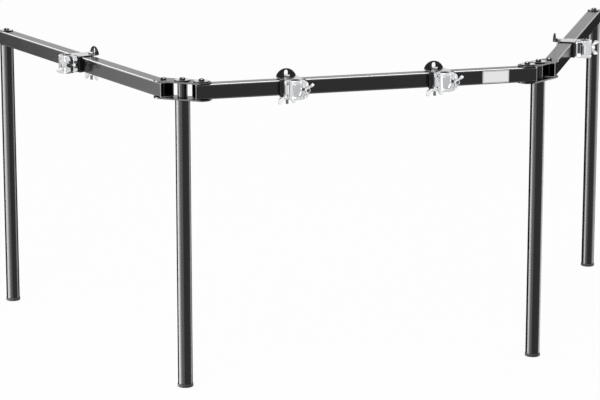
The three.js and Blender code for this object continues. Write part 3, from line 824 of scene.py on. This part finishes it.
def button_bolt(shank):
    """Button-head screw: a domed head with a six-sided recess, turned, on a plain shank."""
    rows = [(0, -shank, 0), (BOLT - 0.8, -shank, 0), (BOLT - 0.1, 0.7 - shank, 0), (BOLT, 1.0 - shank, 0)]
    rows += [(BOLT, -0.3, 0), (BOLT, 0, 0), (7.3, 0, 0), (7.75, 0.15, 0), (7.8, 0.6, 0), (7.75, 1.2, 0)]
    rows += [(7.45, 2.0, 0), (6.9, 2.9, 0), (6.1, 3.75, 0), (5.1, 4.4, 0), (4.2, 4.75, 0), (3.7, 4.87, 0)]
    rows += [(3.35, 4.9, 0.2), (3.1, 4.8, 0.8), (2.95, 4.6, 1), (2.9, 4.4, 1), (2.9, 2.5, 1)]
    rows += [(2.7, 2.35, 1), (0, 1.5, 0)]
    table = np.array(rows)
    return turned(table[:, :2], 48, six=table[:, 2])


SHANK = 2 * PLATE_TOP + 2 * GAP + WASHER - 0.5
rail_parts = (
    ("front_rail_tube", rail(FRONT_LENGTH), "front_rail", "rail_front", FRONT_FRAME),
    ("left_rail_tube", rail(SIDE_LENGTH), "left_side", "rail_left", LEFT_FRAME),
    ("right_rail_tube", rail(SIDE_LENGTH), "right_side", "rail_right", RIGHT_FRAME),
)
for name, skin, body, node, where in rail_parts:
    make(name, skin, RAIL_BLACK, body, [node], where, patch=cut_ends)

plate_skin, spacer_skin, washer_skin = corner_plate(), spacer(), washer()
foot_skin, cap_skin = foot(), end_cap()


def leg_and_foot(side, spot, top, body):
    """A leg under a height, with its rubber foot on the floor."""
    tube, head = leg(top - FOOT_FLANGE - GAP), shift(*spot, top)
    make(f"leg_tube_{side}", tube, GLOSS_BLACK, body, [f"leg_{side}"], head)
    make(f"rubber_foot_{side}", foot_skin, RUBBER, body, [f"foot_{side}"], shift(*spot))


def corner(side, spot, degrees, front_x):
    """Two plates on the leg's head, the sleeve between them, washers and three bolts."""
    body = f"{side}_corner"

    def at(x, z, spin=0.0):
        return frame_at(*spot, RAIL_Z + z, degrees) @ shift(x) @ turn(spin)

    washer_z = PLATE_TOP + GAP
    on_washer = washer_z + WASHER + GAP
    rows = (
        ("top_plate", plate_skin, GLOSS_BLACK, "black_paint", at(0, PLATE_TOP - PLATE)),
        ("bottom_plate", plate_skin, GLOSS_BLACK, "black_paint", at(0, -PLATE_TOP)),
        ("spacer", spacer_skin, GLOSS_BLACK, "black_paint", at(0, 0)),
        ("middle_washer", washer_skin, GLOSS_BLACK, "black_paint", at(0, washer_z)),
        ("front_washer", washer_skin, GLOSS_BLACK, "black_paint", at(front_x, washer_z)),
        ("middle_bolt", button_bolt(SHANK + 12), OXIDE, "bolt_black", at(0, on_washer, 13)),
        ("front_bolt", button_bolt(SHANK), OXIDE, "bolt_black", at(front_x, on_washer, 41)),
        ("side_bolt", button_bolt(SHANK - WASHER - GAP), OXIDE, "bolt_black", at(-front_x, washer_z, 27)),
    )
    for part, skin, finish, slot, where in rows:
        make(f"{side}_{part}", skin, finish, body, [f"corner_{side}_{part}"], where)
    leg_and_foot(side, spot, RAIL_Z - PLATE_TOP - GAP, body)


corner("left", LEFT_CORNER, LEFT_PLATE_TURN, PIVOT_REACH)
corner("right", RIGHT_CORNER, RIGHT_PLATE_TURN, -PIVOT_REACH)

END_RADIUS = WASHER_RADIUS - 1.5
end_washer = washer(END_RADIUS, BOLT).moved(shift(0, 0, -WASHER))
end_bolt = button_bolt(2 * RAIL_HALF + 2 * GAP + 12)
for side, where, spot, sign in (("left", LEFT_FRAME, LEFT_LEG, -1), ("right", RIGHT_FRAME, RIGHT_LEG, 1)):
    body = f"{side}_side"
    far = where @ shift(sign * SIDE_LENGTH / 2) @ turn(0 if sign > 0 else 180)
    seat = where @ shift(sign * FAR_LEG, 0, RAIL_HALF + GAP + WASHER)
    make(f"{side}_end_cap", cap_skin, PLASTIC, body, [f"end_cap_{side}"], far)
    make(f"{side}_end_washer", end_washer, GLOSS_BLACK, body, [f"end_bolt_{side}"], seat)
    make(f"{side}_end_bolt", end_bolt, OXIDE, body, [f"end_bolt_{side}"], seat @ turn(19))
    leg_and_foot(f"far_{side}", spot, RAIL_Z - RAIL_HALF - GAP, body)


# ---- tube clamps


def collar():
    """Black collar: a thick front wall, a strap under the rail, and one over it that ends in a round lip.

    The upper strap is a flat blank with its holes, carried through its thickness and then bent.
    """
    wall = across(rectangle(WALL, 2 * STRAP_TOP, 3, -(INSIDE + WALL / 2)), -WALL_HALF, WALL_HALF, 1.2, 5)
    quarter = (BEND + STRAP / 2) * np.pi / 2
    bend_y = LIP_INSIDE - BEND
    lip_start = bend_y + quarter
    disc = lip_start + STRAP_TOP + LIP_HEIGHT - LIP_RADIUS - (STRAP_TOP + BEND)

    def bent(x, s, t):
        """Flat to s = bend_y, a quarter turn round the bend's axis, then straight up."""
        angle = np.clip((s - bend_y) / (BEND + STRAP / 2), 0, np.pi / 2)
        radius = BEND + STRAP - t
        y = np.where(s < bend_y, s, bend_y + radius * np.sin(angle))
        z = np.where(s < bend_y, INSIDE + t, STRAP_TOP + BEND - radius * np.cos(angle))
        return np.column_stack([x, y, z + np.maximum(s - lip_start, 0)])

    shoulder = 9.0
    start = -INSIDE - 3
    top = arc(0, disc, LIP_RADIUS, shoulder, 180 - shoulder, 60)
    blank = np.vstack([[[-30.7, start], [30.7, start]], top])
    slot_half, slot_top = 4.8, lip_start + 13.5
    foot_line = softened([(slot_half, lip_start), (-slot_half, lip_start)], 0)
    slot = np.vstack([foot_line, arc(0, slot_top - slot_half, slot_half, 180, 0, 18)])
    loops = [divided(blank, 1.6), divided(slot, 1.6), ring(CLOSING_BOLT + GAP, 0, CLOSING_Y)]
    x, s = np.meshgrid(np.linspace(-25.5, 25.5, 35), np.linspace(bend_y - 1, lip_start + 1, 9))
    extra = np.column_stack([x.ravel(), s.ravel()])
    extra = extra[~within(extra, loops[1] - 2.2 * mitre(loops[1]))]
    strap = carried(loops, *stations(0, STRAP, 0.7, 4), bend=bent, extra=extra)
    under = softened([(-30.7, start), (30.7, start), (27, LIP_INSIDE), (-27, LIP_INSIDE)], [1, 1, 6, 6])
    bottom = slab([under, ring(CLOSING_BOLT + GAP, 0, CLOSING_Y)], -STRAP_TOP, -INSIDE, 0.7)
    return wall + strap + bottom


def barrel(side, rim):
    """Half of the socket: an outline of radius and height, carried round the bore between two angles.

    The outer radius is the barrel's, plus the rim's within six millimetres of each end.
    """
    outer, top = BARREL, BARREL_HALF
    corners = [(BORE, -top), (outer + rim, -top), (outer + rim, 6 - top), (outer, 7.5 - top)]
    corners += [(r, -z) for r, z in corners[::-1]]
    outline = softened(corners, [1.1, 1.6, 1.1, 1.1, 1.1, 1.1, 1.6, 1.1], 4)
    middle = (BORE + outer) / 2
    low = np.arcsin(SPLIT / outer) * middle
    insets, places = stations(low, np.pi * middle - low, 0.7, 4, between=40)
    start = 0 if side > 0 else np.pi

    def wrapped(r, z, s):
        angle = start + s / middle
        return np.column_stack([r * np.cos(angle), BORE_Y + r * np.sin(angle), z])

    return carried([outline], insets, places, bend=wrapped)


def socket_base():
    """Cast half of the socket: slabs for pad, block, ears and fork, and a half barrel, melted together."""
    pad = upright(rectangle(52, 43, 6), PAD_BACK - 5, PAD_BACK, 1.2)
    edge_y = BORE_Y + SPLIT
    bore = arc(0, BORE_Y, BORE, 180 - 3.8, 3.8, 24)
    corners = [(-BARREL + 0.5, edge_y), *bore, (BARREL - 0.5, edge_y), (BARREL - 0.5, BORE_Y + 6)]
    corners += [(17, PAD_BACK - 1), (-17, PAD_BACK - 1), (-BARREL + 0.5, BORE_Y + 6)]
    block = slab(np.array(corners, float), 4 - BARREL_HALF, BARREL_HALF - 4, 0.8)
    knuckle = arc(HINGE_X, BORE_Y, KNUCKLE, 125, 360, 30)
    ear = np.vstack([knuckle, [(-16, edge_y), (-16, PAD_BACK - 4), (-25, PAD_BACK - 4)]])
    room = JAW_KNUCKLE_HALF + GAP
    upper = slab(ear, room, KNUCKLE_TOP, 0.9)
    low, high = BORE_Y + 5.6, PAD_BACK - 4
    web = np.array([(HINGE_X - 2, low), (-16, low), (-16, high), (HINGE_X, high)])
    gusset = slab(web, -room - 1, room + 1, 0.8)
    right, high, round_off = SWING_X + EYE, 22, 13
    curve = arc(right - round_off, high - round_off, round_off, 0, 90, 14)
    face = np.vstack([[(8, 4.4), (right, 4.4)], curve, [(8, high)]])
    fork = upright(face, SWING_Y - EYE, PAD_BACK - 2, 1.6, 5)
    whole = pad + block + barrel(1, 0) + upper + upper.moved(FLIP_Z) + gusset + fork + fork.moved(FLIP_Z)
    return fused(whole, 0.55, 5, 0.35)


def socket_jaw():
    """Cast outer half of the socket: a half barrel, slabs for lug and arm, and a knuckle, melted together."""
    slot_half = BOLT + 0.7
    right, high, round_off = 32, 23, 13
    lug = np.vstack([
        [(12, -high)],
        arc(right - round_off, round_off - high, round_off, -90, 0, 14),
        [(right, -slot_half)],
        arc(SWING_X, 0, slot_half, 270, 90, 18),
        [(right, slot_half)],
        arc(right - round_off, high - round_off, round_off, 0, 90, 14),
        [(12, high)],
    ])
    lug = upright(lug, LUG_FRONT, BORE_Y - 3, 1.0)
    top = BORE_Y - SPLIT
    web = [(HINGE_X, BORE_Y - 3.6), (-18, BORE_Y - 7), (-14, BORE_Y - 6), (-16, top), (HINGE_X, top)]
    arm = slab(np.array(web), -JAW_KNUCKLE_HALF, JAW_KNUCKLE_HALF, 0.8)
    knuckle = rod(KNUCKLE, -JAW_KNUCKLE_HALF, JAW_KNUCKLE_HALF, 0.8).moved(shift(HINGE_X, BORE_Y))
    return fused(barrel(-1, 1.3) + panel() + lug + arm + knuckle, 0.55, 5, 0.35)


def panel():
    """Plain raised field on the jaw's front: a round-cornered rectangle bent round the barrel, 1 mm proud."""
    outline = divided(rectangle(24, 30, 2.5), 1.5)
    s, z = np.meshgrid(np.linspace(-11, 11, 15), np.linspace(-13.5, 13.5, 5))

    def wrapped(s, z, t):
        angle = s / BARREL - np.pi / 2
        return np.column_stack([(BARREL + t) * np.cos(angle), BORE_Y + (BARREL + t) * np.sin(angle), z])

    insets, places = stations(-1.5, 1.0, 0.4, 3)
    return carried([outline], insets, places, bend=wrapped, extra=np.column_stack([s.ravel(), z.ravel()]))


def satin_field_and_painted_shade(x, y, z):
    """How much of the bright plating is drawn dull and dark, most of it as painted shade.

    It is all on the wall of the bore, most down the hinge's hidden side and in the split by the swing
    bolt, where it is painted shade, and a quarter on the raised field, which is satin.
    """
    # Painted shade: the bore wall, the hinge's hidden side and the split by the swing bolt are marked to be
    # drawn near-black.
    bore = np.clip((BORE + 0.9 - np.hypot(x, y - BORE_Y)) / 0.5, 0, 1)
    knuckle = np.clip((HINGE_X - 1.7 - x) / 0.5, 0, 0.7)
    knuckle *= (np.hypot(x - HINGE_X, y - BORE_Y) < KNUCKLE + 0.5) & (np.abs(z) < JAW_KNUCKLE_HALF + 0.5)
    split = 0.7 * ((x > BARREL - 2) & (y > BORE_Y - 3.6) & (y < SWING_Y - EYE + 0.5))
    beyond = np.hypot(x, y - BORE_Y) - BARREL
    field = 0.25 * ((beyond > 0.4) & (beyond < 1.6) & (np.abs(z) < 15.6) & (np.abs(x) < 12.2) & (y < BORE_Y))
    return np.maximum.reduce([bore, knuckle, split, field])


def swing_thread(x, y, z):
    """0.9 on the swing bolt's thread, which is drawn near-black, and 0 on its eye."""
    return np.clip(SWING_Y - EYE - 1 - y, 0, 0.9)


def closing_thread(x, y, z):
    """0.45 on the closing bolt's thread, which is dull grey, and 0 on its head."""
    return np.clip(-12 - z, 0, 0.45)


def hinge_pins():
    """Steel pins of the socket's hinge and of the fork, with low domed heads."""
    hinge = rod(2, -KNUCKLE_TOP - 0.9, KNUCKLE_TOP + 0.9, 0.9).moved(shift(HINGE_X, BORE_Y))
    return hinge + rod(3, -21.2, 21.2, 0.9).moved(shift(SWING_X, SWING_Y))


def swing_bolt():
    """Swing bolt: a turned flat eye on the fork's pin, and a neck and a screw that point outward."""
    eye = turned(softened([(3 + GAP, -4), (EYE, -4), (EYE, 4), (3 + GAP, 4)], 0.9), 64, closed=True)
    neck = rod(3.9, 4, 12, 0.6)
    thread = threaded(BOLT, THREAD_PITCH, 11, SWING_Y - NUT_BASE + 12)
    out = shift(SWING_X, SWING_Y) @ turn(90, "x")
    return eye.moved(shift(SWING_X, SWING_Y)) + neck.moved(out) + thread.moved(out)


def wing_nut(thread):
    """Cast wing nut, its base at height zero: a turned hub and two upswept wings, melted together."""
    bore = thread + GAP
    hub = [(bore, 0), (7, 0), (7, 2), (5.9, 12.6), (bore, 13)]
    hub = turned(softened(hub, [0.3, 0.8, 1, 1.2, 0.3], 4), 48, closed=True)
    corners = [(4.4, 2.6), (9, 4.2), (WING_TIP - 6, 8), (WING_TIP, 10.5), (WING_TIP, 21.5)]
    corners += [(WING_TIP - 5.5, 23.3), (10.5, 16), (8, 10.4), (4.4, 10.4)]
    outline = softened(corners, [2.2, 3, 5, 4, 4.5, 4, 6, 3, 2.2], 6)
    wing = upright(outline, -2.1, 2.1, 1.2, 5)
    return fused(hub + wing + wing.moved(turn(180)), 0.42, 5, 0.35)


def closing_bolt():
    """Six-sided head, turned from rows of radius, height and six-sidedness, on a screw. It rests at zero."""
    rows = [(0, 0, 0), (7.3, 0, 0), (7.7, 0.3, 0.3), (8.3, 0.7, 1), (8.3, 1, 1), (8.3, 3.3, 1)]
    rows += [(8.0, 3.9, 0.85), (7.1, 4.35, 0.1), (6.6, 4.4, 0), (6.2, 4.4, 0), (0, 4.4, 0)]
    table = np.array(rows)
    head = turned(table[:, :2], 96, six=table[:, 2])
    shank = 2 * STRAP_TOP + 28
    return head + rod(CLOSING_BOLT - 0.1, -14, 0.4, 0.3) + threaded(CLOSING_BOLT, THREAD_PITCH, -shank, -13)


collar_skin, base_skin, jaw_skin, pin_skin = collar(), socket_base(), socket_jaw(), hinge_pins()
swing_skin, closing_skin = swing_bolt(), closing_bolt()
small_nut, large_nut = wing_nut(BOLT), wing_nut(CLOSING_BOLT / LARGE_NUT)
nut_seat = shift(SWING_X, NUT_BASE) @ turn(90, "x") @ turn(55)
lower_seat = shift(0, CLOSING_Y, -STRAP_TOP - GAP) @ turn(180, "x") @ turn(-15)
lower_seat = lower_seat @ np.diag([LARGE_NUT, LARGE_NUT, LARGE_NUT, 1.0])
head_seat = shift(0, CLOSING_Y, STRAP_TOP + GAP) @ turn(11)
clamp_spots = (
    LEFT_FRAME @ shift(CLAMP_PLACES["left"]),
    *[FRONT_FRAME @ shift(place) for place in CLAMP_PLACES["front"]],
    RIGHT_FRAME @ shift(CLAMP_PLACES["right"]),
)
# Second measure of the clamp pieces: painted shade with a satin field on the castings, and darker threads on
# the bolts.
patches_and_shade = {
    "socket_casting": satin_field_and_painted_shade,
    "socket_jaw": satin_field_and_painted_shade,
    "swing_rod": swing_thread,
    "collar_screw": closing_thread,
}
for number, spot in enumerate(clamp_spots, 1):
    clamp = f"clamp_{number}"
    rows = (
        ("clamp_collar", collar_skin, SATIN_BLACK, "", "collar", "collar_black", spot),
        ("socket_casting", base_skin, CHROME, "", "base", "chrome", spot),
        ("socket_pins", pin_skin, HARDWARE, "", "base", "chrome", spot),
        ("socket_jaw", jaw_skin, CHROME, "_jaw", "jaw", "chrome", spot),
        ("swing_rod", swing_skin, HARDWARE, "_swing", "swing_bolt", "chrome", spot),
        ("wing_nut", small_nut, HARDWARE, "_wing", "wing_nut", "chrome", spot @ nut_seat),
        ("collar_screw", closing_skin, HARDWARE, "", "closing_bolt", "chrome", spot @ head_seat),
        ("collar_nut", large_nut, HARDWARE, "_closing_wing", "closing_nut", "chrome", spot @ lower_seat),
    )
    for part, skin, finish, joint, node, slot, where in rows:
        nodes, patch = [f"{clamp}_{node}"], patches_and_shade.get(part)
        make(f"{part}_{number}", skin, finish, clamp + joint, nodes, where, CASTING_SHARP, patch)


# ---- plain badge


def badge():
    """Bare plate on the front rail's face: a rounded slab with a fine raised border, both carried along Y."""
    width, height, middle = 72.7, 32.0, 342.4
    face = -RAIL_HALF
    plate = upright(rectangle(width, height, 2, middle), face - 0.4, face - 0.02, 0.12, 2)
    outer = rectangle(width - 3, height - 3, 1.5, middle)
    inner = rectangle(width - 4.2, height - 4.2, 1.2, middle)[::-1]
    return plate, upright([outer, inner], face - 0.6, face - 0.3, 0.1, 2)


badge_plate, badge_border = badge()
make("plain_badge", badge_plate, BADGE, "front_rail", where=FRONT_FRAME)
make("plain_badge_border", badge_border, SATIN_BLACK, "front_rail", where=FRONT_FRAME)


# ---- floor, light and camera


def floor():
    """Pale floor that keeps a faint shadow: part diffuse, part its own white for rays that look at it."""
    mesh = bpy.data.meshes.new("studio_floor")
    size = 60.0
    corners = [(-size, -size, 0), (size, -size, 0), (size, size, 0), (-size, size, 0)]
    mesh.from_pydata(corners, [], [(0, 1, 2, 3)])
    ground = bpy.data.objects.new("studio_floor", mesh)
    bpy.context.scene.collection.objects.link(ground)
    paper = Finish("pale_paper")
    camera_ray, glossy_ray, clear_ray = paper.rays()
    seen = camera_ray + glossy_ray + clear_ray
    diffuse = paper.node("ShaderNodeBsdfDiffuse", None, {"Color": (0.9, 0.9, 0.9, 1)})
    glow = paper.node("ShaderNodeEmission", None, {"Color": (1, 1, 1, 1), "Strength": 1.0})
    both = paper.node("ShaderNodeMixShader", None, {0: seen * 0.95, 1: diffuse, 2: glow})
    paper.node_output(both)
    mesh.materials.append(paper.material)
    ground.visible_glossy = False


def world(level, below, front, behind):
    """White for the camera, and a plain level for everything else.

    Reflections see white down to the horizon. Under it they see the floor: pale, greyer to the front
    and right, and dim behind the set.
    """
    sky = bpy.data.worlds.new("studio")
    sky.use_nodes = True
    room = Finish("studio_air", sky.node_tree)
    camera_ray, glossy_ray, clear_ray = room.rays()
    way = room.node("ShaderNodeTexCoord", output="Generated")

    def towards(direction):
        return room.node("ShaderNodeVectorMath", {"operation": "DOT_PRODUCT"}, {0: way, 1: direction}, 1)

    under = 1 - towards((0, 0, 1)).between(-0.14, 0.02)
    in_front = towards(FRONT_RIGHT).between(0.3, 0.5)
    away = towards(VIEW).between(0.2, 0.5)
    mirror = 1 - under * ((1 - below) + (below - front) * in_front + (below - behind) * away)
    seen = camera_ray + clear_ray
    strength = seen + glossy_ray * mirror + (1 - seen - glossy_ray) * level
    back = room.node("ShaderNodeBackground", None, {"Strength": strength})
    output = room.tree.nodes.new("ShaderNodeOutputWorld")
    room.tree.links.new(back.socket, output.inputs["Surface"])
    bpy.context.scene.world = sky


def softbox(name, place, target, width, height, radiance, pieces=None):
    """Area light at a place in metres that faces a target; its power is radiance * pi * area.

    Given pieces, it shows only in their reflections.
    """
    lamp = bpy.data.lights.new(name, "AREA")
    lamp.shape = "RECTANGLE"
    lamp.size = width
    lamp.size_y = height
    lamp.energy = radiance * np.pi * width * height
    holder = bpy.data.objects.new(name, lamp)
    holder.location = place
    holder.rotation_euler = (Vector(target) - Vector(place)).to_track_quat("-Z", "Y").to_euler()
    bpy.context.scene.collection.objects.link(holder)
    holder.visible_camera = False
    if pieces is not None:
        holder.visible_diffuse = False
        group = bpy.data.collections.new(name)
        for piece in pieces:
            group.objects.link(piece)
        holder.light_linking.receiver_collection = group


def standing(name, start, end, middle, tall, radiance, pieces):
    """Upright panel between two points in plan that faces the rack, for reflections in these pieces."""
    start, end = np.array(start, float), np.array(end, float)
    centre = (start + end) / 2
    across_it = end - start
    inward = np.array([-across_it[1], across_it[0]])
    inward *= -np.sign(inward @ centre)
    target = (*(centre + inward), middle)
    softbox(name, (*centre, middle), target, np.linalg.norm(across_it), tall, radiance, pieces)


def around(degrees, distance=6.4):
    """Point in plan at an angle and a distance from the middle of the set."""
    return distance * np.cos(np.radians(degrees)), distance * np.sin(np.radians(degrees))


def made_of(*finishes):
    """The pieces with one of these finishes."""
    pieces = [piece for piece in bpy.data.objects if piece.type == "MESH" and piece.data.materials]
    return [piece for piece in pieces if piece.data.materials[0] in finishes]


def named(*parts):
    """The painted pieces whose names hold one of these words."""
    painted = made_of(GLOSS_BLACK, RAIL_BLACK, SATIN_BLACK)
    return [piece for piece in painted if any(part in piece.name for part in parts)]


VIEW = (0.2948, 0.9556, 0)
FRONT_RIGHT = (0.4384, -0.8988, 0)
black = made_of(GLOSS_BLACK, RAIL_BLACK, SATIN_BLACK, RUBBER, PLASTIC)
tubes = [piece for piece in black if "clamp_collar" not in piece.name]
legs_and_corners = [piece for piece in tubes if "rail_tube" not in piece.name]
hardware = made_of(HARDWARE)
chrome = made_of(CHROME, HARDWARE)
left_rail, front_rail = named("left_rail"), named("front_rail")
floor()
world(0.9, 1.0, 0.92, 0.05)
panels = (
    ("left_panel", (-3.3, 1.3), (-3.2, -0.4), 0.3, 3.4, 20, legs_and_corners),
    ("left_fall_off", (-3.2, -0.4), (-3.1, -1.3), 0.3, 3.4, 9, legs_and_corners),
    ("front_left_fall_off", (-3.1, -1.3), (-2.0, -3.2), 0.3, 3.4, 3, legs_and_corners),
    ("left_back_panel", around(134), around(150), 0.4, 5.0, 2.1, left_rail),
    ("left_back_fall_off", around(119), around(134), 0.4, 5.0, 0.3, left_rail),
    ("left_back_high_panel", around(98), around(130), 4.0, 2.2, 4, left_rail),
    ("right_panel", (2.2, -0.5), (2.55, 1.1), 0.2, 2.6, 5, legs_and_corners),
    ("low_back_panel", around(69), around(101), 2.4, 2.6, 0.1, black),
    ("low_back_strap_panel", around(40), around(115), 2.4, 2.6, 0.5, named("clamp_collar")),
    ("chrome_spark", (-2.45, -1.84), (-2.35, -1.99), 0.3, 3.4, 3.0, chrome),
    ("chrome_left_back_panel", around(100), around(148), 0.4, 5.0, 0.6, chrome),
    ("front_panel", (-2.0, -3.2), (3.6, -3.2), -0.2, 4.0, 0.24, black + hardware),
    ("front_right_panel", (3.6, -3.2), (3.6, -0.5), -0.2, 4.0, 0.2, black + hardware),
    ("cut_end_panel", around(96), around(118), 0.3, 3.0, 1.5, front_rail),
    ("right_plate_panel", (2.2, -0.5), (2.55, 1.1), 0.2, 2.6, 11, named("_plate")),
    ("left_plate_panel", (-3.1, -1.3), (-2.4, -2.5), 0.2, 2.6, 5, named("_plate")),
    ("washer_panel", around(53), around(93), 2.3, 2.2, 1.2, named("washer", "clamp_collar")),
    ("right_chrome_panel", (2.2, -0.5), (2.55, 1.1), 0.2, 2.6, 0.6, chrome),
)
for row in panels:
    standing(*row)
softbox("overhead_panel", (0.4, 1.2, 4.8), (0.4, 1.2, 0), 5.0, 7.0, 9, tubes)
softbox("bolt_panel", (0.2, 0.2, 4.8), (0.2, 0.2, 0), 2.5, 2.5, 60, made_of(OXIDE))
softbox("key_box", (-2.0, -3.0, 4.0), (0, 0, 0.5), 2.5, 2.5, 3)

camera_data = bpy.data.cameras.new("camera")
camera_data.sensor_width = 36
camera_data.lens = 145.11
camera_data.shift_y = -0.05
camera_data.clip_end = 200
camera = bpy.data.objects.new("camera", camera_data)
camera.location = (*(ORIGIN * MM + (-1.95468, -5.75152)), 1.82272)
camera.rotation_euler = np.radians([78.102, 0, -17.144])
bpy.context.scene.collection.objects.link(camera)
bpy.context.scene.camera = camera
bpy.context.scene.view_settings.view_transform = "Standard"
